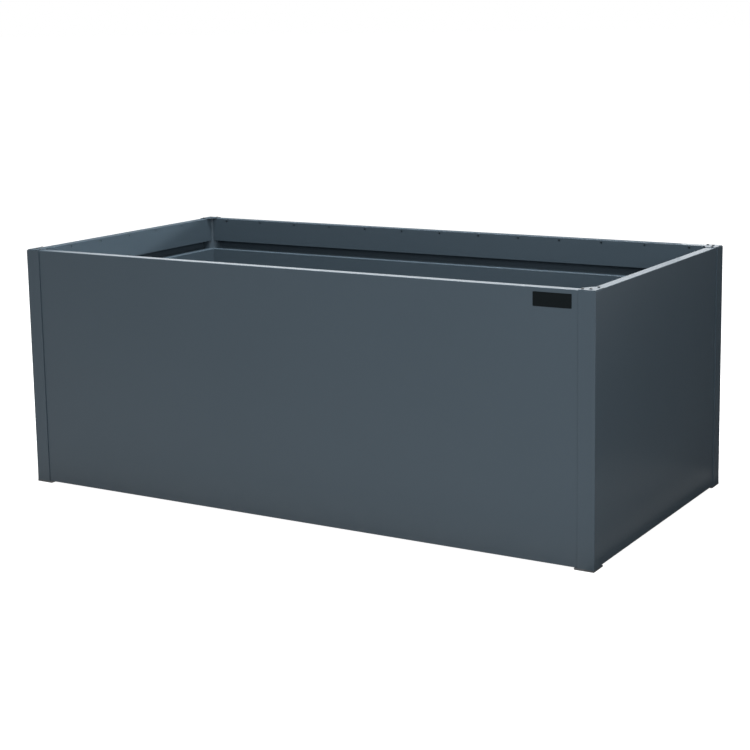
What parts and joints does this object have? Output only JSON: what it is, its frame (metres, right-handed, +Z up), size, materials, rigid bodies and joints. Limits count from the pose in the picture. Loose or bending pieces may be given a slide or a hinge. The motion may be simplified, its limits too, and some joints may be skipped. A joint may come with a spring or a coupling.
{
  "type": "raised garden bed",
  "caption": "Rectangular open raised garden bed with double walls of folded, powder-coated sheet steel, a flat rim with a perforated skirt, screwed corner plates and low feet.",
  "frame": {"origin": "on the ground under the middle of the bed", "axes": "+X along the length to the right end, -Y to the front with the label, +Z up"},
  "size_m": [2, 1, 0.7803],
  "materials": {
    "powder_coated_steel": "satin anthracite powder coat",
    "blackened_steel": "black, semi-matt",
    "zinc_steel": "zinc plated",
    "foot_plastic": "matt dark grey moulding",
    "label_plastic": "matt black, bare"
  },
  "bodies": {
    "root": {"blank_label": "label_plastic", "corner_plate_front_left": "powder_coated_steel", "corner_plate_front_right": "powder_coated_steel", "corner_plate_rear_left": "powder_coated_steel", "corner_plate_rear_right": "powder_coated_steel", "corner_post_front_left": "powder_coated_steel", "corner_post_front_right": "powder_coated_steel", "corner_post_rear_left": "powder_coated_steel", "corner_post_rear_right": "powder_coated_steel", "cross_tie_left": "powder_coated_steel", "cross_tie_right": "powder_coated_steel", "foot_front_left": "foot_plastic", "foot_front_right": "foot_plastic", "foot_rear_left": "foot_plastic", "foot_rear_right": "foot_plastic", "front_inner_panel": "powder_coated_steel", "front_outer_panel": "powder_coated_steel", "left_inner_panel": "powder_coated_steel", "left_outer_panel": "powder_coated_steel", "lining_bolts": "zinc_steel", "lining_nuts": "zinc_steel", "post_bolts": "zinc_steel", "post_nuts": "zinc_steel", "rear_inner_panel": "powder_coated_steel", "rear_outer_panel": "powder_coated_steel", "right_inner_panel": "powder_coated_steel", "right_outer_panel": "powder_coated_steel", "rim_nuts": "zinc_steel", "rim_screws": "blackened_steel", "tie_bolts": "zinc_steel", "tie_nuts": "zinc_steel"}
  },
  "joints": []
}
